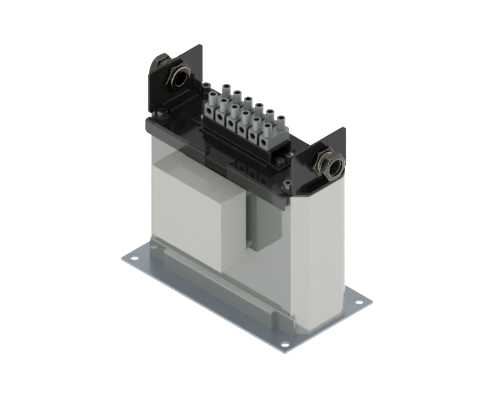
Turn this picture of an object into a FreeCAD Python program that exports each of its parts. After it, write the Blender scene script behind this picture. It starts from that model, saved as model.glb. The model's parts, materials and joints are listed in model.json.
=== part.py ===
# Line reactor in a sheet-metal case, on a drilled base plate.
# Millimetres. X runs along the case, Y from the front to the back, Z up.
# The origin is the centre of the base plate's underside.

import FreeCAD, Part
import math
import os
import re
import Sketcher

Vector = FreeCAD.Vector
UP = Vector(0, 0, 1)

# Driving sizes
SIZES = {
    # Base plate and the bolt holes that fix it to a wall or floor
    "plate_margin_x": 2.7,
    "plate_margin_y": 16.5,
    "plate_thick": 2.0,
    "fixing_inset_x": 6.0,
    "fixing_inset_y": 6.5,
    "fixing_bore": 6.0,
    # Case
    "case_width": 48.0,
    "case_height": 109.0,
    "cap_wall": 2.5,
    "corner_chamfer": 8.5,
    "corner_round": 11.0,
    "corner_flat": 1.0,
    "lip_reach": 3.5,
    "tab_thick": 2.5,
    "tab_reach": 14.0,
    "foot_tab_width": 24.0,
    "foot_screw_pitch": 14.0,
    "panel_thick": 1.5,
    # Three-leg core
    "leg_width": 20.0,
    "stack_depth": 20.0,
    "yoke_height": 20.0,
    "air_gap": 1.0,
    "pad_thick": 1.5,
    "pad_margin": 4.0,
    # Bobbins and windings
    "bobbin_clear": 0.3,
    "bobbin_wall": 1.2,
    "flange_thick": 1.5,
    "coil_clear": 0.3,
    "coil_gap": 4.6,
    "coil_end_gap": 6.1,
    "flange_round": 6.0,
    "winding_set_back": 0.5,
    "winding_clear": 0.1,
    # Upper clamp angles
    "clamp_thick": 1.5,
    "clamp_leg": 20.0,
    "skirt_height": 10.0,
    "skirt_standoff": 4.5,
    "rear_standoff": 2.5,
    "notch_width": 21.0,
    "clamp_end_gap": 1.3,
    "skirt_left_over": 1.2,
    "skirt_right_inset": 1.8,
    "skirt_corner": 2.5,
    "return_height": 7.0,
    "return_depth": 4.0,
    # Top plate
    "cover_inset": 0.8,
    "cover_thick": 1.5,
    "cover_front": 4.3,
    "cover_rear": 1.0,
    "cover_chamfer": 15.5,
    "tongue_gap": 0.3,
    "tongue_set_back": 0.5,
    "tongue_drop": 9.0,
    "tongue_bend": 7.0,
    "tongue_relief": 0.5,
    # Gland brackets
    "bracket_thick": 1.5,
    "bracket_inset": 5.8,
    "bracket_over": 0.5,
    "bracket_height": 31.9,
    "bracket_foot": 9.5,
    "bracket_foot_width": 24.0,
    "bracket_bend": 2.5,
    "bracket_corner": 2.5,
    # Cable glands
    "gland_rise": 18.3,
    "gland_thread": 16.0,
    "gland_bore": 10.4,
    "gland_clear": 0.2,
    "gland_inside": 4.5,
    "gland_flats": 18.0,
    "gland_hex": 4.5,
    "gland_neck": 7.4,
    "seat_depth": 4.5,
    "seat_wall": 0.8,
    "gasket_thick": 1.0,
    "nut_flats": 20.0,
    "nut_thick": 3.0,
    "nut_chamfer": 0.6,
    "dome_thread": 14.0,
    "dome_flats": 17.0,
    "dome_length": 5.5,
    "dome_gap": 4.0,
    "dome_mouth": 12.8,
    "dome_lip": 2.0,
    "dome_chamfer": 1.6,
    "seal_bore": 10.0,
    "thread_clear": 0.05,
    # Terminal riser
    "riser_margin": 1.7,
    "riser_width": 20.0,
    "riser_height": 10.5,
    "riser_thick": 1.5,
    "riser_flange": 3.5,
    "riser_ear": 9.5,
    "riser_screw_inset": 5.5,
    "riser_screw_pitch": 8.0,
    # Terminal strip
    "pole_pitch": 10.0,
    "pole_width": 7.6,
    "pole_depth": 20.0,
    "pole_height": 8.5,
    "web_depth": 14.0,
    "web_drop": 1.5,
    "tower_pitch": 12.4,
    "tower_width": 5.8,
    "tower_height": 8.0,
    "well_width": 4.0,
    "wire_hole": 4.8,
    "wire_height": 5.0,
    "sleeve_clear": 0.05,
    "sleeve_bore": 3.4,
    "sleeve_recess": 0.6,
    "clamp_screw_head": 3.8,
    "clamp_screw_depth": 3.0,
    "clamp_screw_cheek": 2.4,
    "clamp_screw_shank": 2.5,
    "well_wall": 1.0,
    "strip_screw_head": 4.4,
    "strip_screw_cheek": 1.8,
    "strip_screw_shank": 2.5,
    # Corner screws and washers
    "corner_inset_x": 6.3,
    "corner_inset_y": 4.0,
    "screw_shank": 4.0,
    "screw_head": 6.5,
    "screw_cheek": 4.0,
    "screw_socket": 3.0,
    "screw_clear": 0.3,
    "washer_width": 8.6,
    "washer_thick": 0.8,
    "riser_screw_head": 5.5,
    "riser_screw_cheek": 2.0,
    "riser_screw_shank": 3.0,
    "foot_screw_shank": 3.0,
    "foot_screw_head": 5.6,
    # Lower clamp strips
    "strip_height": 13.5,
    "strip_thick": 1.2,
    "strip_step": 3.6,
    "strip_joggle": 0.6,
    "strip_left_step": 16.3,
    "strip_right_step": 12.8,
    "strip_left_over": 0.2,
    "strip_right_over": 4.2,
    "strip_rear_inset": 0.3,
    # Front module
    "box_length": 63.2,
    "box_depth": 22.9,
    "box_height": 54.3,
    "box_shift": 3.6,
    "box_drop": 9.8,
    "box_wall": 2.0,
    "box_back": 2.5,
    "box_standoff": 5.0,
    "spacer_width": 8.0,
    "spacer_inset": 6.5,
    "box_screw_shank": 3.0,
    "box_screw_head": 5.6,
    "box_screw_cheek": 1.5,
}

doc = FreeCAD.newDocument("line_reactor")
sheet = doc.addObject("Spreadsheet::Sheet", "Sizes")
for row, (alias, number) in enumerate(SIZES.items(), start=1):
    sheet.set(f"A{row}", alias)
    sheet.set(f"B{row}", str(number))
    sheet.setAlias(f"B{row}", alias)
doc.recompute()

# Number of poles of the terminal strip
POLES = 6

# Heights and planes that several pieces share, as formulas of the sheet's sizes
CASE_SIDE = "(case_width / 2)"
PANEL_INNER = f"({CASE_SIDE} - panel_thick)"
LIP_INNER = f"({PANEL_INNER} - cap_wall)"
FLANGE_SIZE = f"(2 * ({LIP_INNER} - coil_clear))"
WINDING_SIZE = f"({FLANGE_SIZE} - 2 * winding_set_back)"
CORE_PITCH = f"({FLANGE_SIZE} + coil_gap)"
CASE_END = f"({CORE_PITCH} + {FLANGE_SIZE} / 2 + coil_end_gap + cap_wall)"
PLATE_END = f"({CASE_END} + plate_margin_x)"
PLATE_SIDE = f"({CASE_SIDE} + plate_margin_y)"
PANEL_END = f"({CASE_END} - corner_chamfer)"
REAR_PANEL_END = f"({CASE_END} - corner_round - corner_flat)"
CASE_TOP = "(plate_thick + case_height)"
PANEL_TOP = f"({CASE_TOP} - clamp_thick)"
COVER_TOP = f"({CASE_TOP} + cover_thick)"
FOOT_TOP = f"({COVER_TOP} + bracket_thick)"
SKIRT_FRONT = f"({CASE_SIDE} + skirt_standoff)"
CLAMP_END = f"({PANEL_END} - clamp_end_gap)"
REAR_CLAMP_END = f"({REAR_PANEL_END} - clamp_end_gap / 2)"
YOKE_TOP = "(plate_thick + yoke_height)"
UPPER_YOKE_TOP = f"({PANEL_TOP} - pad_thick)"
UPPER_YOKE_BASE = f"({UPPER_YOKE_TOP} - yoke_height)"
LEG_TOP = f"({UPPER_YOKE_BASE} - air_gap)"
CORE_END = f"({CORE_PITCH} + leg_width / 2)"
GLAND_AXIS = f"({COVER_TOP} + gland_rise)"
BRACKET_FACE = f"({CASE_END} - bracket_inset)"
BRACKET_SIDE = f"({CASE_SIDE} + bracket_over)"
SCREW_X = f"({PANEL_END} - corner_inset_x)"
SCREW_Y = f"({CASE_SIDE} - corner_inset_y)"
TONGUE_FRONT = f"({SKIRT_FRONT} - tongue_set_back)"
TONGUE_ROOT = f"({TONGUE_FRONT} - tongue_bend - tongue_relief)"
RISER_TOP = f"({COVER_TOP} + riser_height)"
POLE_TOP = f"({RISER_TOP} + pole_height)"
TOWER_TOP = f"({POLE_TOP} + tower_height)"
WIRE_AXIS = f"({RISER_TOP} + wire_height)"
SCREW_SEAT = f"({TOWER_TOP} - clamp_screw_depth - clamp_screw_cheek)"
WELL_FLOOR = f"({WIRE_AXIS} + wire_hole / 2 + well_wall)"
STRIP_SEAT = f"({RISER_TOP} + pole_height - strip_screw_cheek - web_drop)"
BOX_BACK_FACE = f"({CASE_SIDE} + box_standoff)"
BOX_LEFT = "(-box_shift - box_length / 2)"
BOX_RIGHT = "(-box_shift + box_length / 2)"
BOX_TOP = f"({CASE_TOP} - box_drop)"
BOX_BOTTOM = f"({BOX_TOP} - box_height)"


def cell(text):
    """Turn each size name in a formula into a reference to its cell."""
    return re.sub(r"\b([a-z]+(?:_[a-z]+)+)\b", r"Sizes.\1", str(text))


def value(text):
    """The number that a formula of the sheet's sizes gives."""
    return float(sheet.evalExpression(cell(text)))


# Building blocks for bodies: sketches, pads, pockets, edge work

def new_body(label):
    body = doc.addObject("PartDesign::Body", label)
    body.Label = label
    return body


def origin_item(body, role):
    return next(item for item in body.Origin.OriginFeatures if item.Role == role)


def pin_point(profile, index, position, across, along):
    """Fix a sketch point by formulas for its two coordinates."""
    for kind, formula in (("DistanceX", across), ("DistanceY", along)):
        rule = Sketcher.Constraint(kind, -1, 1, index, position, value(formula))
        number = profile.addConstraint(rule)
        profile.setExpression(f"Constraints[{number}]", cell(formula))


def sketch(body, plane, at, outlines=(), circles=()):
    """A sketch on a plane parallel to an origin plane, at the given coordinate."""
    profile = body.newObject("Sketcher::SketchObject", body.Label + "_outline")
    profile.AttachmentSupport = (origin_item(body, plane), [""])
    profile.MapMode = "FlatFace"
    offset = f"-({at})" if plane == "XZ_Plane" else at
    profile.setExpression("AttachmentOffset.Base.z", cell(offset))
    for outline in outlines:
        first = profile.GeometryCount
        count = len(outline)
        corners = [Vector(value(across), value(along), 0) for across, along in outline]
        for index in range(count):
            profile.addGeometry(Part.LineSegment(corners[index], corners[(index + 1) % count]))
        for index in range(count):
            following = first + (index + 1) % count
            profile.addConstraint(Sketcher.Constraint("Coincident", first + index, 2, following, 1))
        for index, (across, along) in enumerate(outline):
            pin_point(profile, first + index, 1, across, along)
    for across, along, radius in circles:
        centre = Vector(value(across), value(along), 0)
        index = profile.addGeometry(Part.Circle(centre, UP, value(radius)))
        pin_point(profile, index, 3, across, along)
        number = profile.addConstraint(Sketcher.Constraint("Radius", index, value(radius)))
        profile.setExpression(f"Constraints[{number}]", cell(radius))
    return profile


def pad(body, profile, length, reverse=False, middle=False):
    feature = body.newObject("PartDesign::Pad", body.Label + "_pad")
    feature.Profile = profile
    feature.setExpression("Length", cell(length))
    feature.Reversed = reverse
    feature.Midplane = middle
    doc.recompute()
    return feature


def pocket(body, profile, length=None, reverse=False):
    """Cut a sketch into the body: to a depth, or right through both ways."""
    before = body.Shape.Volume
    feature = body.newObject("PartDesign::Pocket", body.Label + "_pocket")
    feature.Profile = profile
    if length is None:
        feature.Type = "ThroughAll"
        feature.Midplane = True
    else:
        feature.setExpression("Length", cell(length))
        feature.Reversed = reverse
    doc.recompute()
    if body.Shape.Volume >= before:
        raise RuntimeError(f"the cut in {body.Label} removes nothing")
    return feature


def edges_at(shape, places, tolerance=0.02):
    """Names of the edges whose middles lie at the given places; None matches any value."""
    names = []
    for number, edge in enumerate(shape.Edges, start=1):
        box = edge.BoundBox
        middle = (box.Center.x, box.Center.y, box.Center.z)
        for place in places:
            near = [want is None or abs(want - have) < tolerance for want, have in zip(place, middle)]
            if all(near):
                names.append(f"Edge{number}")
                break
    return names


def round_edges(body, places, radius, kind="Fillet"):
    base = body.Tip
    feature = body.newObject("PartDesign::" + kind, body.Label + "_" + kind.lower())
    names = edges_at(base.Shape, places)
    if len(names) < len(places):
        raise RuntimeError(f"an edge to round is missing on {body.Label}")
    feature.Base = (base, names)
    feature.setExpression("Radius" if kind == "Fillet" else "Size", cell(radius))
    doc.recompute()
    return feature


def revolve(body, profile, cut=False):
    """Turn a sketch about the body's own X axis."""
    kind = "PartDesign::Groove" if cut else "PartDesign::Revolution"
    feature = body.newObject(kind, body.Label + "_turned")
    feature.Profile = profile
    feature.ReferenceAxis = (origin_item(body, "X_Axis"), [""])
    feature.Angle = 360
    doc.recompute()
    return feature


def rectangle(low_x, low_y, high_x, high_y):
    return [(low_x, low_y), (high_x, low_y), (high_x, high_y), (low_x, high_y)]


def centred(width, depth):
    return rectangle(f"-({width}) / 2", f"-({depth}) / 2", f"({width}) / 2", f"({depth}) / 2")


def hexagon(flats):
    """A hexagon about the origin with a flat at its top and bottom."""
    corner = f"({flats}) / sqrt(3)"
    half = f"({flats}) / 2"
    return [
        (f"{corner}", "0"),
        (f"{corner} / 2", half),
        (f"-{corner} / 2", half),
        (f"-{corner}", "0"),
        (f"-{corner} / 2", f"-{half}"),
        (f"{corner} / 2", f"-{half}"),
    ]


def group(label, solids):
    """Several alike solids in one node, as a compound of separate solids."""
    feature = doc.addObject("Part::Feature", label)
    feature.Label = label
    feature.Shape = Part.makeCompound(solids)
    return feature


def rod(radius, base, axis, length):
    return Part.makeCylinder(radius, length, base, axis)


def signs():
    return [(-1, -1), (1, -1), (1, 1), (-1, 1)]


# Base plate and the strips that clamp the case to it

def build_base_plate():
    body = new_body("base_plate")
    holes = []
    for side, face in signs():
        holes.append((f"{side} * ({PLATE_END} - fixing_inset_x)", f"{face} * ({PLATE_SIDE} - fixing_inset_y)",
                      "fixing_bore / 2"))
    for side, face in signs():
        holes.append((f"{side} * {FOOT_SCREW_X}", f"{face} * foot_screw_pitch / 2",
                      "foot_screw_shank / 2 + screw_clear / 2"))
    plate = sketch(body, "XY_Plane", "0", [centred(f"2 * {PLATE_END}", f"2 * {PLATE_SIDE}")], holes)
    pad(body, plate, "plate_thick")
    rims = []
    for side, face in signs():
        rims.append((side * value(FOOT_SCREW_X), face * value("foot_screw_pitch / 2"), 0))
    round_edges(body, rims, COUNTERSINK, "Chamfer")
    return body


FOOT_SCREW_X = f"({CASE_END} - cap_wall - tab_reach / 2)"
COUNTERSINK = "((foot_screw_head - foot_screw_shank - screw_clear) / 2)"


def build_lower_strip(label, face, left_end, right_end, left_step, right_step):
    """A folded strip: its middle stands out from the case, closed by a flange along the top,
    and its ends are joggled back to the case."""
    body = new_body(label)
    seat = CASE_SIDE
    out = f"({CASE_SIDE} + strip_step)"
    outline = [
        (f"-({left_end})", f"{face} * ({seat})"),
        (f"-({left_end})", f"{face} * ({seat} + strip_thick)"),
        (f"-({left_step}) - strip_joggle", f"{face} * ({seat} + strip_thick)"),
        (f"-({left_step})", f"{face} * ({out} + strip_thick)"),
        (right_step, f"{face} * ({out} + strip_thick)"),
        (f"{right_step} + strip_joggle", f"{face} * ({seat} + strip_thick)"),
        (f"{right_end}", f"{face} * ({seat} + strip_thick)"),
        (f"{right_end}", f"{face} * ({seat})"),
        (f"{right_step} + strip_joggle - {JOGGLE_SHIFT}", f"{face} * ({seat})"),
        (f"{right_step} - {JOGGLE_SHIFT}", f"{face} * ({out})"),
        (f"-({left_step}) + {JOGGLE_SHIFT}", f"{face} * ({out})"),
        (f"-({left_step}) - strip_joggle + {JOGGLE_SHIFT}", f"{face} * ({seat})"),
    ]
    pad(body, sketch(body, "XY_Plane", "plate_thick", [outline]), "strip_height")
    flange = rectangle(f"-({left_step}) + strip_thick / 2", f"{face} * ({seat})",
                       f"{right_step} - strip_thick / 2", f"{face} * ({out} + strip_thick / 2)")
    top = sketch(body, "XY_Plane", "plate_thick + strip_height", [flange])
    pad(body, top, "strip_thick", reverse=True)
    return body


# How far the inner bends of a joggle lie inside the outer ones
JOGGLE_SHIFT = "(strip_thick * (sqrt(strip_joggle^2 + strip_step^2) - strip_joggle) / strip_step)"


# Case: two folded end caps and two flat panels

def build_end_cap(label, side):
    """A folded end wall: a chamfer at the front corner and a round at the rear one.
    Joggled lips carry the panels, a foot tab takes the base screws and two corner
    tabs take the screws from the top."""
    body = new_body(label)
    end = CASE_END
    inner = f"({CASE_END} - cap_wall)"
    slant = "(cap_wall * sqrt(2))"
    front = f"-({CASE_SIDE})"
    # Where the chamfer's inner face meets the lip's inner face
    lip_bend = f"({PANEL_END} + {CASE_SIDE} - {slant} - {LIP_INNER})"
    wall = [
        (f"{side} * {PANEL_END}", front),
        (f"{side} * ({end})", f"{front} + corner_chamfer"),
        (f"{side} * ({end})", CASE_SIDE),
        (f"{side} * {REAR_PANEL_END}", CASE_SIDE),
        (f"{side} * {REAR_PANEL_END}", f"{CASE_SIDE} - cap_wall"),
        (f"{side} * {inner}", f"{CASE_SIDE} - cap_wall"),
        (f"{side} * {inner}", f"{front} + corner_chamfer + {slant} - cap_wall"),
        (f"{side} * {lip_bend}", f"-{LIP_INNER}"),
        (f"{side} * {PANEL_END}", f"-{LIP_INNER}"),
    ]
    pad(body, sketch(body, "XY_Plane", "plate_thick", [wall]), "case_height")
    middle = value("plate_thick + case_height / 2")
    round_edges(body, [(side * value(end), value(CASE_SIDE), middle)], "corner_round")
    round_edges(body, [(side * value(inner), value(f"{CASE_SIDE} - cap_wall"), middle)],
                "corner_round - cap_wall")
    lip_height = f"{PANEL_TOP} - plate_thick"
    front_lip = rectangle(f"{side} * ({PANEL_END} - lip_reach)", f"-{PANEL_INNER}",
                          f"{side} * {lip_bend}", f"-{LIP_INNER}")
    front_lip[2] = (f"{side} * {lip_bend}", f"-{LIP_INNER}")
    front_lip[1] = (f"{side} * {PANEL_END}", f"-{PANEL_INNER}")
    pad(body, sketch(body, "XY_Plane", "plate_thick", [front_lip]), lip_height)
    rear_lip = rectangle(f"{side} * ({REAR_PANEL_END} - lip_reach)", LIP_INNER,
                         f"{side} * ({REAR_PANEL_END} + cap_wall / 2)", PANEL_INNER)
    pad(body, sketch(body, "XY_Plane", "plate_thick", [rear_lip]), lip_height)
    foot = rectangle(f"{side} * ({inner} - tab_reach)", "-foot_tab_width / 2",
                     f"{side} * {inner}", "foot_tab_width / 2")
    pad(body, sketch(body, "XY_Plane", "plate_thick", [foot]), "tab_thick")
    tab_inner = f"({CASE_SIDE} - tab_reach)"
    front_tab = [
        (f"{side} * {TAB_END}", f"-{PANEL_INNER}"),
        (f"{side} * {PANEL_END}", f"-{PANEL_INNER}"),
        (f"{side} * {lip_bend}", f"-{LIP_INNER}"),
        (f"{side} * {inner}", f"{front} + corner_chamfer + {slant} - cap_wall"),
        (f"{side} * {inner}", f"-{tab_inner}"),
        (f"{side} * {TAB_END}", f"-{tab_inner}"),
    ]
    pad(body, sketch(body, "XY_Plane", PANEL_TOP, [front_tab]), "tab_thick", reverse=True)
    rear_tab = [
        (f"{side} * {TAB_END}", PANEL_INNER),
        (f"{side} * {REAR_PANEL_END}", PANEL_INNER),
        (f"{side} * {inner}", f"{CASE_SIDE} - corner_round"),
        (f"{side} * {inner}", tab_inner),
        (f"{side} * {TAB_END}", tab_inner),
    ]
    pad(body, sketch(body, "XY_Plane", PANEL_TOP, [rear_tab]), "tab_thick", reverse=True)
    tapped = []
    for face in (-1, 1):
        tapped.append((f"{side} * {SCREW_X}", f"{face} * {SCREW_Y}",
                       "screw_shank / 2 + thread_clear"))
    top_holes = sketch(body, "XY_Plane", PANEL_TOP, circles=tapped)
    pocket(body, top_holes, "tab_thick + screw_shank")
    foot_holes = []
    for face in (-1, 1):
        foot_holes.append((f"{side} * {FOOT_SCREW_X}", f"{face} * foot_screw_pitch / 2",
                           "foot_screw_shank / 2 + thread_clear"))
    pocket(body, sketch(body, "XY_Plane", "plate_thick + tab_thick", circles=foot_holes), "tab_thick")
    return body


# Inner end of the corner tabs, one screw diameter inboard of the corner screws
TAB_END = f"({SCREW_X} - screw_shank)"


def build_panel(label, face, end, holes=()):
    body = new_body(label)
    outline = rectangle(f"-{end}", "plate_thick", end, PANEL_TOP)
    profile = sketch(body, "XZ_Plane", f"{face} * ({CASE_SIDE})", [outline], holes)
    pad(body, profile, "panel_thick", reverse=(face < 0))
    return body


# Core, bobbins and windings

def build_core():
    body = new_body("core_e_stack")
    half = "leg_width / 2"
    window_low = f"{CORE_PITCH} - {half}"
    outline = [
        (f"-{CORE_END}", "plate_thick"),
        (CORE_END, "plate_thick"),
        (CORE_END, LEG_TOP),
        (window_low, LEG_TOP),
        (window_low, YOKE_TOP),
        (half, YOKE_TOP),
        (half, LEG_TOP),
        (f"-{half}", LEG_TOP),
        (f"-{half}", YOKE_TOP),
        (f"-({window_low})", YOKE_TOP),
        (f"-({window_low})", LEG_TOP),
        (f"-{CORE_END}", LEG_TOP),
    ]
    pad(body, sketch(body, "XZ_Plane", "0", [outline]), "stack_depth", middle=True)
    upper = new_body("core_i_yoke")
    bar = rectangle(f"-{CORE_END}", UPPER_YOKE_BASE, CORE_END, UPPER_YOKE_TOP)
    pad(upper, sketch(upper, "XZ_Plane", "0", [bar]), "stack_depth", middle=True)
    cushion = new_body("yoke_pad")
    sheet_outline = centred(f"2 * {CORE_END} - 2 * pad_margin", "stack_depth - pad_margin / 2")
    pad(cushion, sketch(cushion, "XY_Plane", UPPER_YOKE_TOP, [sheet_outline]), "pad_thick")
    spacers = []
    for step in (-1, 0, 1):
        corner = Vector(step * value(CORE_PITCH) - value(half), -value("stack_depth / 2"), value(LEG_TOP))
        spacers.append(Part.makeBox(value("leg_width"), value("stack_depth"), value("air_gap"), corner))
    group("gap_spacers", spacers)


def rounded_square(body, at, size, height, bore=None):
    outlines = [centred(size, size)]
    if bore is not None:
        outlines.append(centred(bore, bore))
    pad(body, sketch(body, "XY_Plane", at, outlines), height)


def build_bobbin(label, step):
    """A moulded spool: a square tube on the leg with a rounded flange at each end."""
    body = new_body(label)
    base = f"({YOKE_TOP} + bobbin_clear)"
    top = f"({UPPER_YOKE_BASE} - bobbin_clear)"
    bore = "(leg_width + 2 * bobbin_clear)"
    tube = f"({bore} + 2 * bobbin_wall)"
    rounded_square(body, base, FLANGE_SIZE, "flange_thick")
    rounded_square(body, f"{base} + flange_thick", tube, f"{top} - {base} - 2 * flange_thick")
    rounded_square(body, f"{top} - flange_thick", FLANGE_SIZE, "flange_thick")
    corners = []
    for level in (f"{base} + flange_thick / 2", f"{top} - flange_thick / 2"):
        for side, face in signs():
            half = value(f"{FLANGE_SIZE} / 2")
            corners.append((side * half, face * half, value(level)))
    round_edges(body, corners, "flange_round")
    pocket(body, sketch(body, "XY_Plane", base, [centred(bore, bore)]))
    body.setExpression("Placement.Base.x", cell(f"{step} * {CORE_PITCH}"))
    return body


def build_winding(label, step):
    body = new_body(label)
    low = f"({YOKE_TOP} + bobbin_clear + flange_thick + winding_clear)"
    high = f"({UPPER_YOKE_BASE} - bobbin_clear - flange_thick - winding_clear)"
    hollow = "(leg_width + 2 * (bobbin_clear + bobbin_wall + winding_clear))"
    rounded_square(body, low, WINDING_SIZE, f"{high} - {low}", hollow)
    corners = []
    for side, face in signs():
        half = value(f"{WINDING_SIZE} / 2")
        corners.append((side * half, face * half, value(f"({low} + {high}) / 2")))
    round_edges(body, corners, "flange_round")
    body.setExpression("Placement.Base.x", cell(f"{step} * {CORE_PITCH}"))
    return body


# Clamp angles along the upper edges of the case

def build_upper_clamp(label, face, standoff, leg_end, left_end, right_end, notched):
    """An angle: its leg lies on the panel's top edge and its skirt hangs in front of the case."""
    body = new_body(label)
    outer = f"({CASE_SIDE} + {standoff})"
    inner = f"({outer} - clamp_thick)"
    section = [
        (f"{face} * {outer}", CASE_TOP),
        (f"{face} * {outer}", f"{CASE_TOP} - skirt_height"),
        (f"{face} * {inner}", f"{CASE_TOP} - skirt_height"),
        (f"{face} * {inner}", PANEL_TOP),
        (f"{face} * ({CASE_SIDE} - clamp_leg)", PANEL_TOP),
        (f"{face} * ({CASE_SIDE} - clamp_leg)", CASE_TOP),
    ]
    angle = sketch(body, "YZ_Plane", f"-{left_end}", [section])
    pad(body, angle, f"{left_end} + {right_end}")
    middle = value(f"({right_end} - {left_end}) / 2")
    round_edges(body, [(middle, face * value(outer), value(CASE_TOP))], "clamp_thick")
    if notched:
        tip = rectangle(f"{right_end} - clamp_thick", f"{CASE_TOP} - return_height", right_end, PANEL_TOP)
        fold = sketch(body, "XZ_Plane", f"{face} * ({outer} - clamp_thick / 2)", [tip])
        pad(body, fold, "return_depth - clamp_thick / 2", reverse=(face < 0))
        skirt_foot = (value(f"-{left_end}"), face * value(f"{outer} - clamp_thick / 2"),
                      value(f"{CASE_TOP} - skirt_height"))
        round_edges(body, [skirt_foot], "skirt_corner")
        notch = rectangle("-notch_width / 2", f"{face} * ({outer} + clamp_thick)",
                          "notch_width / 2", f"{face} * {TONGUE_ROOT}")
        relief = rectangle(f"-{left_end} - clamp_thick", f"{face} * ({CASE_SIDE} + tongue_gap)",
                           f"-{leg_end}", f"{face} * ({CASE_SIDE} - clamp_leg - clamp_thick)")
        pocket(body, sketch(body, "XY_Plane", CASE_TOP, [notch, relief]))
    holes = [(f"{side} * {SCREW_X}", f"{face} * {SCREW_Y}", "screw_shank / 2 + thread_clear")
             for side in (-1, 1)]
    pocket(body, sketch(body, "XY_Plane", CASE_TOP, circles=holes), "clamp_thick")
    return body


# Top plate, folded down in a tongue at the front

def build_top_plate():
    body = new_body("top_plate")
    end = f"({CASE_END} - cover_inset)"
    front = f"(-({CASE_SIDE}) - cover_front)"
    rear = f"({CASE_SIDE} + cover_rear)"
    outline = [
        (f"-{end} + cover_chamfer", front),
        ("-notch_width / 2", front),
        ("-notch_width / 2", f"-{TONGUE_ROOT}"),
        ("notch_width / 2", f"-{TONGUE_ROOT}"),
        ("notch_width / 2", front),
        (f"{end} - cover_chamfer", front),
        (end, f"{front} + cover_chamfer"),
        (end, rear),
        (f"-{end}", rear),
        (f"-{end}", f"{front} + cover_chamfer"),
    ]
    pad(body, sketch(body, "XY_Plane", CASE_TOP, [outline]), "cover_thick")
    level = value(f"{CASE_TOP} + cover_thick / 2")
    corners = [(side * value(end), value(rear), level) for side in (-1, 1)]
    round_edges(body, corners, "corner_round")
    section = [
        (f"-{TONGUE_ROOT}", COVER_TOP),
        (f"-{TONGUE_FRONT}", COVER_TOP),
        (f"-{TONGUE_FRONT}", f"{CASE_TOP} - tongue_drop"),
        (f"-{TONGUE_FRONT} + cover_thick", f"{CASE_TOP} - tongue_drop"),
        (f"-{TONGUE_FRONT} + cover_thick", CASE_TOP),
        (f"-{TONGUE_ROOT}", CASE_TOP),
    ]
    tongue = sketch(body, "YZ_Plane", "0", [section])
    pad(body, tongue, "notch_width - 2 * tongue_gap", middle=True)
    round_edges(body, [(0, value(f"-{TONGUE_FRONT}"), value(COVER_TOP))], "tongue_bend")
    round_edges(body, [(0, value(f"-{TONGUE_FRONT} + cover_thick"), value(CASE_TOP))],
                "tongue_bend - cover_thick")
    holes = []
    for side, face in signs():
        holes.append((f"{side} * {SCREW_X}", f"{face} * {SCREW_Y}",
                      "screw_shank / 2 + screw_clear / 2"))
    for side, face in signs():
        holes.append((f"{side} * {RISER_SCREW_X}", f"{face} * riser_screw_pitch / 2",
                      "riser_screw_shank / 2 + thread_clear"))
    pocket(body, sketch(body, "XY_Plane", COVER_TOP, circles=holes), "cover_thick")
    return body


RISER_LENGTH = f"({POLES - 1} * pole_pitch + pole_width + 2 * riser_margin)"
RISER_SCREW_X = f"({RISER_LENGTH} / 2 + riser_ear - riser_screw_inset)"


# Gland brackets and cable glands

def build_bracket(label, turn):
    """A folded angle: a narrow foot on the top plate and a wide upright that carries a gland."""
    body = new_body(label)
    inner = f"({BRACKET_FACE} - bracket_thick)"
    top = f"({COVER_TOP} + bracket_height)"
    section = [
        (f"{BRACKET_FACE} - bracket_foot", COVER_TOP),
        (BRACKET_FACE, COVER_TOP),
        (BRACKET_FACE, top),
        (inner, top),
        (inner, FOOT_TOP),
        (f"{BRACKET_FACE} - bracket_foot", FOOT_TOP),
    ]
    pad(body, sketch(body, "XZ_Plane", "0", [section]), "bracket_foot_width", middle=True)
    round_edges(body, [(value(BRACKET_FACE), 0, value(COVER_TOP))], "bracket_bend")
    round_edges(body, [(value(inner), 0, value(FOOT_TOP))], "bracket_bend - bracket_thick")
    wings = [rectangle(f"{face} * bracket_foot_width / 2", COVER_TOP, f"{face} * {BRACKET_SIDE}", top)
             for face in (-1, 1)]
    pad(body, sketch(body, "YZ_Plane", inner, wings), "bracket_thick")
    corners = []
    for face in (-1, 1):
        for level in (COVER_TOP, top):
            corners.append((value(f"{BRACKET_FACE} - bracket_thick / 2"), face * value(BRACKET_SIDE),
                            value(level)))
    round_edges(body, corners, "bracket_corner")
    hole = sketch(body, "YZ_Plane", BRACKET_FACE,
                  circles=[("0", GLAND_AXIS, "gland_thread / 2 + gland_clear / 2")])
    pocket(body, hole, "2 * bracket_thick")
    body.Placement.Rotation = FreeCAD.Rotation(UP, turn)
    return body


GASKET_FACE = f"({BRACKET_FACE} + gasket_thick)"
HEX_FACE = f"({GASKET_FACE} + gland_hex)"
NECK_END = f"({HEX_FACE} + gland_neck)"
GLAND_INNER_END = f"({BRACKET_FACE} - bracket_thick - gland_inside)"
DOME_START = f"({HEX_FACE} + dome_gap)"
DOME_END = f"({DOME_START} + dome_length)"
SEAT_RADIUS = "(dome_thread / 2 - thread_clear - seat_wall)"


def seat_on_axis(body, turn):
    """Lift a piece that is turned about the X axis to the gland's height and its side."""
    body.setExpression("Placement.Base.z", cell(GLAND_AXIS))
    body.Placement.Rotation = FreeCAD.Rotation(UP, turn)


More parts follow.
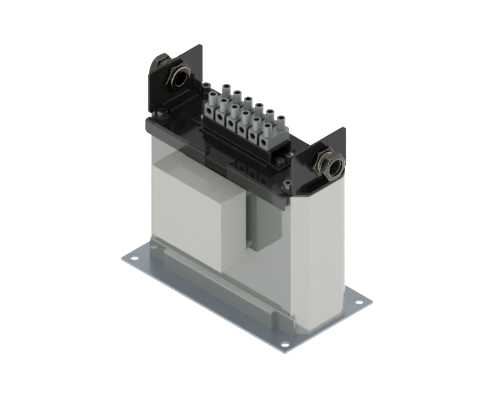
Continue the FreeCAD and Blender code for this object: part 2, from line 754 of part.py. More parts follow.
def build_gland_body(label, turn):
    body = new_body(label)
    pad(body, sketch(body, "YZ_Plane", GASKET_FACE, [hexagon("gland_flats")]), "gland_hex")
    shank = sketch(body, "YZ_Plane", GLAND_INNER_END, circles=[("0", "0", "gland_thread / 2")])
    pad(body, shank, f"{GASKET_FACE} - {GLAND_INNER_END}")
    neck = sketch(body, "YZ_Plane", HEX_FACE, circles=[("0", "0", "dome_thread / 2")])
    pad(body, neck, f"{NECK_END} - {HEX_FACE}")
    bore = sketch(body, "YZ_Plane", GLAND_INNER_END, circles=[("0", "0", "gland_bore / 2")])
    pocket(body, bore)
    seat = sketch(body, "YZ_Plane", NECK_END, circles=[("0", "0", SEAT_RADIUS)])
    pocket(body, seat, "seat_depth")
    chamfer_hex(body, GASKET_FACE, HEX_FACE, "gland_flats", "nut_chamfer", "nut_chamfer")
    seat_on_axis(body, turn)
    return body


def chamfer_hex(body, low, high, flats, low_cut, high_cut):
    """Turn off the corners of a hexagon at both of its ends."""
    corner = f"(({flats}) / sqrt(3))"
    rim = f"(({flats}) / 2 - {high_cut} / 2)"
    heel = f"(({flats}) / 2 - {low_cut} / 2)"
    outer = f"({corner} + {high_cut})"
    slope = "0.5774"
    high_end = [
        (high, rim),
        (high, outer),
        (f"{high} - ({outer} - {rim}) * {slope}", outer),
    ]
    revolve(body, sketch(body, "XZ_Plane", "0", [high_end]), cut=True)
    low_end = [
        (low, heel),
        (low, outer),
        (f"{low} + ({outer} - {heel}) * {slope}", outer),
    ]
    revolve(body, sketch(body, "XZ_Plane", "0", [low_end]), cut=True)


def build_lock_nut(label, turn):
    body = new_body(label)
    start = f"({BRACKET_FACE} - bracket_thick - nut_thick)"
    pad(body, sketch(body, "YZ_Plane", start, [hexagon("nut_flats")],
                     [("0", "0", "gland_thread / 2 + thread_clear")]), "nut_thick")
    chamfer_hex(body, start, f"{start} + nut_thick", "nut_flats", "nut_chamfer", "nut_chamfer")
    seat_on_axis(body, turn)
    return body


def build_gasket(label, turn):
    body = new_body(label)
    ring = sketch(body, "YZ_Plane", BRACKET_FACE,
                  circles=[("0", "0", "gland_flats / 2"), ("0", "0", "gland_thread / 2 + thread_clear")])
    pad(body, ring, "gasket_thick")
    seat_on_axis(body, turn)
    return body


def build_dome_nut(label, turn):
    """The compression nut: a hexagon, its outer end turned down to a domed mouth."""
    body = new_body(label)
    pad(body, sketch(body, "YZ_Plane", DOME_START, [hexagon("dome_flats")]), "dome_length")
    chamfer_hex(body, DOME_START, DOME_END, "dome_flats", "nut_chamfer", "dome_chamfer")
    cavity = sketch(body, "YZ_Plane", DOME_START,
                    circles=[("0", "0", "dome_thread / 2 + thread_clear")])
    pocket(body, cavity, "dome_length - dome_lip", reverse=True)
    mouth = sketch(body, "YZ_Plane", DOME_END, circles=[("0", "0", "dome_mouth / 2")])
    pocket(body, mouth, "2 * dome_lip")
    seat_on_axis(body, turn)
    return body


def build_seal(label, turn):
    body = new_body(label)
    ring = sketch(body, "YZ_Plane", NECK_END,
                  circles=[("0", "0", f"{SEAT_RADIUS} - thread_clear"), ("0", "0", "seal_bore / 2")])
    pad(body, ring, "seat_depth - thread_clear", reverse=True)
    seat_on_axis(body, turn)
    return body


# Terminal strip on its folded riser

def build_riser():
    """A top-hat channel with a flat ear at each end for its screws."""
    body = new_body("terminal_riser")
    half = "(riser_width / 2)"
    inner = f"({half} - riser_thick)"
    foot_top = f"({COVER_TOP} + riser_thick)"
    section = [
        (f"-{half} - riser_flange", COVER_TOP),
        (f"-{inner}", COVER_TOP),
        (f"-{inner}", f"{RISER_TOP} - riser_thick"),
        (inner, f"{RISER_TOP} - riser_thick"),
        (inner, COVER_TOP),
        (f"{half} + riser_flange", COVER_TOP),
        (f"{half} + riser_flange", foot_top),
        (half, foot_top),
        (half, RISER_TOP),
        (f"-{half}", RISER_TOP),
        (f"-{half}", foot_top),
        (f"-{half} - riser_flange", foot_top),
    ]
    pad(body, sketch(body, "YZ_Plane", "0", [section]), RISER_LENGTH, middle=True)
    bends = [(0, side * value(half), value(RISER_TOP)) for side in (-1, 1)]
    round_edges(body, bends, "riser_thick")
    for side in (-1, 1):
        ear = rectangle(f"{side} * ({RISER_LENGTH} / 2 - riser_thick)", f"-{half}",
                        f"{side} * ({RISER_LENGTH} / 2 + riser_ear)", half)
        pad(body, sketch(body, "XY_Plane", COVER_TOP, [ear]), "riser_thick")
    holes = []
    for side, face in signs():
        holes.append((f"{side} * {RISER_SCREW_X}", f"{face} * riser_screw_pitch / 2",
                      "riser_screw_shank / 2 + screw_clear / 2"))
    pocket(body, sketch(body, "XY_Plane", foot_top, circles=holes), "riser_thick")
    taps = [(f"{side} * {STRIP_SCREW_X}", "0", "strip_screw_shank / 2 + thread_clear") for side in (-1, 1)]
    pocket(body, sketch(body, "XY_Plane", RISER_TOP, circles=taps), "riser_thick")
    return body


# The strip's own screws stand between its outer poles
STRIP_SCREW_X = "(2 * pole_pitch)"
FIRST_POLE = f"(-{POLES - 1} * pole_pitch / 2)"


def build_terminal_block():
    """One moulding: pole blocks on a web, each with a wire way and two screw towers."""
    body = new_body("terminal_block")
    web = centred(f"{POLES - 1} * pole_pitch", "web_depth")
    pad(body, sketch(body, "XY_Plane", RISER_TOP, [web]), "pole_height - web_drop")
    pole = rectangle(f"{FIRST_POLE} - pole_width / 2", "-pole_depth / 2",
                     f"{FIRST_POLE} + pole_width / 2", "pole_depth / 2")
    block = pad(body, sketch(body, "XY_Plane", RISER_TOP, [pole]), "pole_height")
    rounds = [(FIRST_POLE, f"{face} * tower_pitch / 2", "tower_width / 2") for face in (-1, 1)]
    towers = pad(body, sketch(body, "XY_Plane", POLE_TOP, circles=rounds), "tower_height")
    wells = [(FIRST_POLE, f"{face} * tower_pitch / 2", "well_width / 2") for face in (-1, 1)]
    sunk = pocket(body, sketch(body, "XY_Plane", TOWER_TOP, circles=wells),
                  f"{TOWER_TOP} - {WELL_FLOOR}")
    way = sketch(body, "XZ_Plane", "0", circles=[(FIRST_POLE, WIRE_AXIS, "wire_hole / 2")])
    bored = pocket(body, way)
    row_of_poles = body.newObject("PartDesign::LinearPattern", "terminal_block_poles")
    row_of_poles.Originals = [block, towers, sunk, bored]
    row_of_poles.Direction = (origin_item(body, "X_Axis"), [""])
    row_of_poles.setExpression("Length", cell(f"{POLES - 1} * pole_pitch"))
    row_of_poles.Occurrences = POLES
    body.Tip = row_of_poles
    doc.recompute()
    shanks = [(f"{side} * {STRIP_SCREW_X}", "0", "strip_screw_shank / 2 + screw_clear / 2")
              for side in (-1, 1)]
    pocket(body, sketch(body, "XY_Plane", POLE_TOP, circles=shanks), "pole_height")
    heads = [(f"{side} * {STRIP_SCREW_X}", "0", "strip_screw_head / 2 + screw_clear / 2")
             for side in (-1, 1)]
    pocket(body, sketch(body, "XY_Plane", POLE_TOP, circles=heads), f"{POLE_TOP} - {STRIP_SEAT}")
    return body


def pole_places():
    return [value(FIRST_POLE) + step * value("pole_pitch") for step in range(POLES)]


def build_terminal_sleeves():
    """A brass tube in each wire way."""
    sleeves = []
    length = value("pole_depth - 2 * sleeve_recess")
    axis = Vector(0, 1, 0)
    for place in pole_places():
        start = Vector(place, -length / 2, value(WIRE_AXIS))
        tube = rod(value("wire_hole / 2 - sleeve_clear"), start, axis, length)
        tube = tube.cut(rod(value("sleeve_bore / 2"), start, axis, length))
        sleeves.append(tube)
    return group("terminal_sleeves", sleeves)


def slotted_screw(place, head_radius, cheek, shank_radius, reach, slot_width, slot_depth):
    """A cheese-head screw; place is the middle of the head's underside."""
    head = rod(head_radius, place, UP, cheek)
    slot = Part.makeBox(2 * head_radius + 2 * slot_width, slot_width, slot_depth + slot_width)
    slot.translate(place + Vector(-head_radius - slot_width, -slot_width / 2, cheek - slot_depth))
    shank = rod(shank_radius, place - Vector(0, 0, reach), UP, reach)
    return head.cut(slot).fuse(shank).removeSplitter()


def build_terminal_screws():
    """The clamping screws, each standing on the floor of its well."""
    screws = []
    floor = value(SCREW_SEAT)
    reach = floor - value(WELL_FLOOR)
    for place in pole_places():
        for face in (-1, 1):
            seat = Vector(place, face * value("tower_pitch / 2"), floor)
            screws.append(slotted_screw(seat, value("clamp_screw_head / 2"), value("clamp_screw_cheek"),
                                        value("clamp_screw_shank / 2"), reach,
                                        value("clamp_screw_head / 5"), value("clamp_screw_cheek / 2")))
    return group("terminal_screws", screws)


def build_strip_screws():
    screws = []
    seat_level = value(STRIP_SEAT)
    reach = seat_level - value(f"{RISER_TOP} - riser_thick")
    for side in (-1, 1):
        seat = Vector(side * value(STRIP_SCREW_X), 0, seat_level)
        screws.append(slotted_screw(seat, value("strip_screw_head / 2"), value("strip_screw_cheek"),
                                    value("strip_screw_shank / 2"), reach,
                                    value("strip_screw_head / 5"), value("strip_screw_cheek / 2")))
    return group("terminal_mount_screws", screws)


def build_riser_screws():
    screws = []
    seat_level = value(f"{COVER_TOP} + riser_thick")
    for side, face in signs():
        seat = Vector(side * value(RISER_SCREW_X), face * value("riser_screw_pitch / 2"), seat_level)
        screws.append(slotted_screw(seat, value("riser_screw_head / 2"), value("riser_screw_cheek"),
                                    value("riser_screw_shank / 2"), value("riser_thick + cover_thick"),
                                    value("riser_screw_head / 6"), value("riser_screw_cheek / 2")))
    return group("riser_screws", screws)


# Screws that hold the case together

def build_corner_screws():
    """Socket-head screws with washers, through top plate and clamp into the corner tabs."""
    screws = []
    washers = []
    seat = value(COVER_TOP)
    thick = value("washer_thick")
    bottom = value(f"{PANEL_TOP} - tab_thick")
    for side, face in signs():
        foot = Vector(side * value(SCREW_X), face * value(SCREW_Y), seat)
        ring = rod(value("washer_width / 2"), foot, UP, thick)
        ring = ring.cut(rod(value("screw_shank / 2 + screw_clear / 2"), foot, UP, thick))
        washers.append(ring)
        under_head = foot + Vector(0, 0, thick)
        head = rod(value("screw_head / 2"), under_head, UP, value("screw_cheek"))
        socket_radius = value("screw_socket / sqrt(3)")
        socket_base = under_head + Vector(0, 0, value("screw_cheek / 2"))
        corners = []
        for turn in range(7):
            angle = math.radians(60 * turn)
            corners.append(socket_base + Vector(socket_radius * math.cos(angle),
                                                socket_radius * math.sin(angle), 0))
        socket = Part.Face(Part.makePolygon(corners)).extrude(Vector(0, 0, value("screw_cheek")))
        shank_base = Vector(foot.x, foot.y, bottom)
        shank = rod(value("screw_shank / 2"), shank_base, UP, under_head.z - bottom)
        screws.append(head.cut(socket).fuse(shank).removeSplitter())
    group("corner_washers", washers)
    return group("corner_screws", screws)


def build_base_screws():
    """Countersunk screws from under the base plate into the end caps' foot tabs."""
    screws = []
    shank = value("foot_screw_shank / 2")
    head = value("foot_screw_head / 2 - thread_clear")
    top = value("plate_thick + tab_thick")
    for side, face in signs():
        place = Vector(side * value(FOOT_SCREW_X), face * value("foot_screw_pitch / 2"), 0)
        cone = Part.makeCone(head, shank, head - shank, place, UP)
        screws.append(cone.fuse(rod(shank, place, UP, top)).removeSplitter())
    return group("base_screws", screws)


# Front module: a moulded box on four spacers

def box_screw_places():
    """Formulas for the four screws' positions along the case and up it."""
    places = []
    for across in (f"({BOX_LEFT} + spacer_inset)", f"({BOX_RIGHT} - spacer_inset)"):
        for up in (f"({BOX_BOTTOM} + spacer_inset)", f"({BOX_TOP} - spacer_inset)"):
            places.append((across, up))
    return places


def build_front_box():
    body = new_body("front_box")
    outer = rectangle(BOX_LEFT, BOX_BOTTOM, BOX_RIGHT, BOX_TOP)
    pad(body, sketch(body, "XZ_Plane", f"-{BOX_BACK_FACE}", [outer]), "box_depth")
    hollow = rectangle(f"{BOX_LEFT} + box_wall", f"{BOX_BOTTOM} + box_wall",
                       f"{BOX_RIGHT} - box_wall", f"{BOX_TOP} - box_wall")
    pocket(body, sketch(body, "XZ_Plane", f"-{BOX_BACK_FACE}", [hollow]), "box_depth - box_wall",
           reverse=True)
    back = new_body("front_box_back")
    plate = rectangle(f"{BOX_LEFT} + box_wall + thread_clear", f"{BOX_BOTTOM} + box_wall + thread_clear",
                      f"{BOX_RIGHT} - box_wall - thread_clear", f"{BOX_TOP} - box_wall - thread_clear")
    holes = [(across, up, "box_screw_shank / 2 + thread_clear") for across, up in box_screw_places()]
    pad(back, sketch(back, "XZ_Plane", f"-{BOX_BACK_FACE}", [plate], holes), "box_back")
    return body


def build_box_fixings():
    """Spacer tubes between the case and the box, each with a screw from inside the case."""
    spacers = []
    screws = []
    outward = Vector(0, -1, 0)
    panel_face = -value(CASE_SIDE)
    inside = -value(PANEL_INNER)
    for across, up in box_screw_places():
        foot = Vector(value(across), panel_face, value(up))
        tube = rod(value("spacer_width / 2"), foot, outward, value("box_standoff"))
        bore = rod(value("box_screw_shank / 2 + screw_clear / 2"), foot, outward, value("box_standoff"))
        spacers.append(tube.cut(bore))
        seat = Vector(foot.x, inside, foot.z)
        reach = value("panel_thick + box_standoff + box_back")
        head = rod(value("box_screw_head / 2"), seat, Vector(0, 1, 0), value("box_screw_cheek"))
        screws.append(head.fuse(rod(value("box_screw_shank / 2"), seat, outward, reach)).removeSplitter())
    group("front_box_spacers", spacers)
    return group("front_box_screws", screws)


def build_all():
    build_base_plate()
    build_lower_strip("lower_clamp_front", -1, f"({PANEL_END} + strip_left_over)",
                      f"({PANEL_END} + strip_right_over)", f"({PANEL_END} - strip_left_step)",
                      f"({PANEL_END} - strip_right_step)")
    rear_end = f"({REAR_PANEL_END} - strip_rear_inset)"
    rear_step = f"({REAR_PANEL_END} - strip_right_step)"
    build_lower_strip("lower_clamp_rear", 1, rear_end, rear_end, rear_step, rear_step)
    build_end_cap("end_cap_left", -1)
    build_end_cap("end_cap_right", 1)
    panel_holes = [(across, up, "box_screw_shank / 2 + screw_clear / 2")
                   for across, up in box_screw_places()]
    build_panel("front_panel", -1, PANEL_END, panel_holes)
    build_panel("rear_panel", 1, REAR_PANEL_END)
    build_core()
    for name, step in (("left", -1), ("middle", 0), ("right", 1)):
        build_bobbin("bobbin_" + name, step)
        build_winding("winding_" + name, step)
    build_upper_clamp("upper_clamp_front", -1, "skirt_standoff", CLAMP_END,
                      f"({PANEL_END} + skirt_left_over)", f"({PANEL_END} - skirt_right_inset)", True)
    build_upper_clamp("upper_clamp_rear", 1, "rear_standoff", REAR_CLAMP_END, REAR_CLAMP_END,
                      REAR_CLAMP_END, False)
    build_top_plate()
    for name, turn in (("right", 0), ("left", 180)):
        build_bracket("bracket_" + name, turn)
        build_gland_body("gland_body_" + name, turn)
        build_lock_nut("lock_nut_" + name, turn)
        build_gasket("gland_gasket_" + name, turn)
        build_dome_nut("dome_nut_" + name, turn)
        build_seal("cable_seal_" + name, turn)
    build_riser()
    build_terminal_block()
    build_terminal_sleeves()
    build_terminal_screws()
    build_strip_screws()
    build_riser_screws()
    build_corner_screws()
    build_base_screws()
    build_front_box()
    build_box_fixings()
    doc.recompute()


def finished_pieces():
    """Every sub-part, checked: no failed object, no empty or invalid shape."""
    for item in doc.Objects:
        if "Invalid" in item.State or "Error" in item.State:
            raise RuntimeError(f"{item.Label} did not build")
    pieces = [item for item in doc.Objects
              if item.TypeId == "PartDesign::Body" or item.TypeId == "Part::Feature"]
    for piece in pieces:
        if piece.Shape.isNull() or not piece.Shape.isValid():
            raise RuntimeError(f"{piece.Label} has no valid shape")
    return pieces


build_all()
os.makedirs("parts", exist_ok=True)
for piece in finished_pieces():
    piece.Shape.exportStep(f"parts/{piece.Label}.step")
    box = piece.Shape.BoundBox
    print(f"{piece.Label}: {len(piece.Shape.Solids)} solids, x {box.XMin:.1f} {box.XMax:.1f},"
          f" y {box.YMin:.1f} {box.YMax:.1f}, z {box.ZMin:.1f} {box.ZMax:.1f}")
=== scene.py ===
# Looks of the line reactor: finishes for every piece, fine threads, camera and light.
# Lengths are metres. The frame gives every place, and X runs along the case.

import json
import math

import bmesh
import bpy
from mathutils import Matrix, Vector


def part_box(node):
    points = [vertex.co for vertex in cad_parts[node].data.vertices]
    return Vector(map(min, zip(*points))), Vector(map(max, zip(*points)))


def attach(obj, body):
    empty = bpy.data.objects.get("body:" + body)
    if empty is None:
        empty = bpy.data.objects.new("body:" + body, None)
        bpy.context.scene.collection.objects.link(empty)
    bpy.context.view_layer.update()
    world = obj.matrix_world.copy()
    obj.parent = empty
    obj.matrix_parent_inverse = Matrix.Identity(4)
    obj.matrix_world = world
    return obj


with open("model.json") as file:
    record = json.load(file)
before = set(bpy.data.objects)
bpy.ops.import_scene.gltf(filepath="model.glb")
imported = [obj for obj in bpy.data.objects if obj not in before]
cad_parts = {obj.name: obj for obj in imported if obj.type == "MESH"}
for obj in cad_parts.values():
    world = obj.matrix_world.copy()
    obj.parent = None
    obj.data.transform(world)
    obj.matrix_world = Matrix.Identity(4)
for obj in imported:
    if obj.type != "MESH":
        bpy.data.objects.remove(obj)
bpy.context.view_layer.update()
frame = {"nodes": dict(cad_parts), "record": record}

MM = 0.001

# Where the camera aims and how much it takes in
CAMERA_TARGET = Vector((-3.23, -3.23, 64.84)) * MM
CAMERA_SIDE = Vector((1, -1, 1)).normalized()
CAMERA_DISTANCE = 0.9
FIELD_WIDTH = 311.1 * MM

# Light around the object: a bright horizon, a dim sky and a pale floor.
# HORIZON_TOP is the height on a sphere of radius 1 at which the bright band has half faded,
# and HORIZON_FADE is the share of that height, down and up, over which it fades.
HORIZON_LIGHT = 1.93
SKY_LIGHT = 0.42
HORIZON_TOP = 0.42
HORIZON_FADE = 0.4
FLOOR_SIZE = 8.0
FLOOR_DROP = 0.05 * MM
FLOOR_COLOUR = (0.9, 0.9, 0.9)
FLOOR_GLOW = 0.85

# Thread ridges that show on the glands. A ridge's foot and crest are shares of the pitch.
THREAD_PITCH = 1.5 * MM
THREAD_HEIGHT = 0.22 * MM
THREAD_SINK = 0.02 * MM
THREAD_FOOT = 0.45
THREAD_CREST = 0.08
THREAD_FADE = 0.5
THREAD_STEPS = 64
SHANK_RADIUS = 8 * MM
NECK_RADIUS = 7 * MM
GLAND_HEX_LENGTH = 4.5 * MM

# Edges that the materials round off, light with painted highlights and darken, and gaps that they fill
# with painted shade
SOFT_EDGE = 0.3 * MM
MOULDED_EDGE = 0.25 * MM
SCREW_EDGE = 0.12 * MM
BLACK_SCREW_EDGE = 0.15 * MM
COAT_RIM_WIDTH = 0.35 * MM
METAL_RIM_WIDTH = 0.5 * MM
PLASTIC_RIM_WIDTH = 0.3 * MM
DARK_EDGE_WIDTH = 1.0 * MM
GAP_DEPTH = 5 * MM
RELIEF = 0.02 * MM
GRAIN_RELIEF = 0.03 * MM
WIRE_RELIEF = 0.3 * MM

# Distance from the middle along X at which the dome nuts' outer faces start
OUTER_FACE = 75.9 * MM


# Small helpers for building node materials

class Paint:
    """A node material that starts from a Principled shader."""

    def __init__(self, name):
        self.material = bpy.data.materials.new(name)
        self.material.use_nodes = True
        self.nodes = self.material.node_tree.nodes
        self.links = self.material.node_tree.links
        self.shader = self.nodes["Principled BSDF"]

    def add(self, kind, **settings):
        node = self.nodes.new(kind)
        for key, setting in settings.items():
            setattr(node, key, setting)
        return node

    def place(self, stretch=(1, 1, 1)):
        """Object coordinates in metres, stretched so that a grain can run one way."""
        source = self.add("ShaderNodeTexCoord")
        mapping = self.add("ShaderNodeMapping")
        mapping.inputs["Scale"].default_value = stretch
        self.links.new(source.outputs["Object"], mapping.inputs["Vector"])
        return mapping.outputs["Vector"]

    def noise(self, scale, detail=3, stretch=(1, 1, 1)):
        """A cloudy value whose scale is in clouds per metre."""
        node = self.add("ShaderNodeTexNoise")
        node.inputs["Scale"].default_value = scale
        node.inputs["Detail"].default_value = detail
        self.links.new(self.place(stretch), node.inputs["Vector"])
        return node.outputs["Fac"]

    def span(self, source, low, high, start=0.3, end=0.7):
        """Spread a 0 to 1 value over a chosen range."""
        node = self.add("ShaderNodeMapRange")
        node.inputs["From Min"].default_value = start
        node.inputs["From Max"].default_value = end
        node.inputs["To Min"].default_value = low
        node.inputs["To Max"].default_value = high
        self.links.new(source, node.inputs["Value"])
        return node.outputs["Result"]

    def tint(self, source, dark, light):
        """A colour that drifts between two shades."""
        node = self.add("ShaderNodeMix", data_type="RGBA")
        node.inputs[6].default_value = (*dark, 1)
        node.inputs[7].default_value = (*light, 1)
        self.links.new(source, node.inputs[0])
        self.links.new(node.outputs[2], self.shader.inputs["Base Color"])

    def rough(self, source, low, high):
        """Roughness that drifts between two values."""
        self.links.new(self.span(source, low, high), self.shader.inputs["Roughness"])

    def surface(self, bump_source, strength, distance=RELIEF, edge=None):
        """Fine relief, with edges that read as slightly broken where a radius is given."""
        bump = self.add("ShaderNodeBump")
        bump.inputs["Strength"].default_value = strength
        bump.inputs["Distance"].default_value = distance
        self.links.new(bump_source, bump.inputs["Height"])
        if edge is not None:
            bevel = self.add("ShaderNodeBevel", samples=6)
            bevel.inputs["Radius"].default_value = edge
            self.links.new(bevel.outputs["Normal"], bump.inputs["Normal"])
        self.links.new(bump.outputs["Normal"], self.shader.inputs["Normal"])

    def edges(self, radius, flat=0.97, bent=0.8):
        """1 along a piece's edges and 0 on its faces, by how well a rounded normal matches
        the true one."""
        bevel = self.add("ShaderNodeBevel", samples=8)
        bevel.inputs["Radius"].default_value = radius
        true_normal = self.add("ShaderNodeNewGeometry")
        match = self.add("ShaderNodeVectorMath", operation="DOT_PRODUCT")
        self.links.new(bevel.outputs["Normal"], match.inputs[0])
        self.links.new(true_normal.outputs["True Normal"], match.inputs[1])
        return self.span(match.outputs["Value"], 0, 1, start=flat, end=bent)

    def beyond(self, distance):
        """1 where a point lies further than the distance from the middle along X."""
        split = self.add("ShaderNodeSeparateXYZ")
        self.links.new(self.place(), split.inputs[0])
        reach = self.add("ShaderNodeMath", operation="ABSOLUTE")
        self.links.new(split.outputs["X"], reach.inputs[0])
        return self.span(reach.outputs[0], 0, 1, start=distance - 0.1 * MM, end=distance)

    def recesses(self, depth, closed=0.35, opened=0.75):
        """1 in narrow gaps and holes and 0 on open faces, by how open the surroundings are."""
        shade = self.add("ShaderNodeAmbientOcclusion", samples=8)
        shade.inputs["Distance"].default_value = depth
        return self.span(shade.outputs["AO"], 1, 0, start=closed, end=opened)

    def upward(self):
        """1 on level faces that look up, where painted light is laid."""
        face = self.add("ShaderNodeNewGeometry")
        split = self.add("ShaderNodeSeparateXYZ")
        self.links.new(face.outputs["True Normal"], split.inputs[0])
        return self.span(split.outputs["Z"], 0, 1, start=0.8, end=0.95)

    def worn(self, mask, colour):
        """Lay a second colour over the base colour where the mask is 1; it carries the painted highlights,
        painted light, painted shade and darker edges.
        """
        below = self.shader.inputs["Base Color"].links[0].from_socket
        node = self.add("ShaderNodeMix", data_type="RGBA")
        node.inputs[7].default_value = (*colour, 1)
        self.links.new(mask, node.inputs[0])
        self.links.new(below, node.inputs[6])
        self.links.new(node.outputs[2], self.shader.inputs["Base Color"])

    def set(self, **values):
        """Set inputs of the shader by name, with underscores for spaces."""
        for name, number in values.items():
            self.shader.inputs[name.replace("_", " ")].default_value = number


def shades(colour, spread):
    """A darker and a lighter neighbour of a colour."""
    dark = tuple(channel * (1 - spread) for channel in colour)
    light = tuple(min(1, channel * (1 + spread)) for channel in colour)
    return dark, light


def lacquer(name, colour, ior, roughness, spread=0.008, painted_rim=None, top_light=None):
    """Sprayed gloss paint on sheet metal: a mirror-like coat with a trace of orange peel.
    Its edges take a painted highlight in the rim colour where one is given, and level faces
    that look up take a painted light colour where there is one."""
    paint = Paint(name)
    paint.set(IOR=ior)
    paint.tint(paint.span(paint.noise(scale=60), 0, 1), *shades(colour, spread))
    # Painted highlight: a lighter colour along the edges stands in for light caught there.
    if painted_rim is not None:
        paint.worn(paint.edges(COAT_RIM_WIDTH), painted_rim)
    # Painted light: level faces that look up take a lighter colour.
    if top_light is not None:
        paint.worn(paint.upward(), top_light)
    paint.rough(paint.noise(scale=240, detail=5), roughness * 0.8, roughness * 1.25)
    paint.surface(paint.noise(scale=900, detail=2), strength=0.03, edge=SOFT_EDGE)
    return paint.material


def zinc_sheet(name, colour, roughness, stretch, edge_tone=None):
    """Rolled zinc-plated steel: a bluish metal with a faint grain along the sheet.
    Its edges are darker where a colour is given for them."""
    paint = Paint(name)
    paint.set(IOR=2.0, Metallic=0.4)
    grain = paint.noise(scale=700, detail=4, stretch=stretch)
    paint.tint(paint.span(paint.noise(scale=45, detail=4), 0, 1), *shades(colour, 0.04))
    # Edges within the edge width take the darker colour given for them.
    if edge_tone is not None:
        paint.worn(paint.edges(DARK_EDGE_WIDTH), edge_tone)
    paint.rough(grain, roughness * 0.75, roughness * 1.4)
    paint.surface(grain, strength=0.08, edge=SOFT_EDGE)
    return paint.material


def bare_metal(name, colour, roughness, edge=None, spread=0.08, painted_rim=None, outer=None):
    """Turned or stamped metal with light tool marks and handling stains.
    Its edges take a painted highlight in the rim colour where one is given. The outer colour,
    where there is one, is painted light on what lies beyond OUTER_FACE."""
    paint = Paint(name)
    paint.set(Metallic=1.0)
    paint.tint(paint.span(paint.noise(scale=350, detail=4), 0, 1), *shades(colour, spread))
    # Painted light: the dome nuts' outer faces, beyond OUTER_FACE, take a lighter colour than the gland
    # bodies, as if lit.
    if outer is not None:
        paint.worn(paint.beyond(OUTER_FACE), outer)
    # Painted highlight: a lighter colour along the edges stands in for light caught there.
    if painted_rim is not None:
        paint.worn(paint.edges(METAL_RIM_WIDTH), painted_rim)
    marks = paint.noise(scale=1800, detail=3, stretch=(6, 1, 1))
    paint.rough(marks, roughness * 0.7, roughness * 1.5)
    paint.surface(marks, strength=0.06, edge=edge)
    return paint.material


def moulded(name, colour, ior, roughness, edge=None, spread=0.01, painted_rim=None, gap=None):
    """Moulded plastic: a fine spark-eroded grain and slight flow shading.
    Edges take a painted highlight in the rim colour where one is given, and narrow gaps and
    holes take a painted shade in the gap colour where one is given."""
    paint = Paint(name)
    paint.set(IOR=ior)
    paint.tint(paint.span(paint.noise(scale=110), 0, 1), *shades(colour, spread))
    # Painted highlight: a lighter colour along the edges stands in for light caught there.
    if painted_rim is not None:
        paint.worn(paint.edges(PLASTIC_RIM_WIDTH), painted_rim)
    # Painted shade: narrow gaps and holes take a darker colour by how closed in they are.
    if gap is not None:
        paint.worn(paint.recesses(GAP_DEPTH), gap)
    skin = paint.noise(scale=2200, detail=4)
    paint.rough(skin, roughness * 0.8, roughness * 1.25)
    paint.surface(skin, strength=0.06, distance=GRAIN_RELIEF, edge=edge)
    return paint.material


def soft_rubber(name, colour):
    """Matt rubber with a dusty bloom."""
    paint = Paint(name)
    paint.set(IOR=1.45)
    paint.tint(paint.span(paint.noise(scale=500, detail=4), 0, 1), *shades(colour, 0.25))
    bloom = paint.noise(scale=1500, detail=4)
    paint.rough(bloom, 0.5, 0.75)
    paint.surface(bloom, strength=0.15, distance=GRAIN_RELIEF)
    return paint.material


def winding_wire(name, colour):
    """Enamelled wire laid in level turns."""
    paint = Paint(name)
    paint.set(Metallic=0.7, Roughness=0.3)
    bands = paint.add("ShaderNodeTexWave", wave_type="BANDS", bands_direction="Z")
    bands.inputs["Scale"].default_value = 160
    bands.inputs["Distortion"].default_value = 0.2
    paint.links.new(paint.place(), bands.inputs["Vector"])
    paint.tint(bands.outputs["Fac"], *shades(colour, 0.3))
    paint.surface(bands.outputs["Fac"], strength=0.6, distance=WIRE_RELIEF)
    return paint.material


# Finishes, one for each material slot of the record

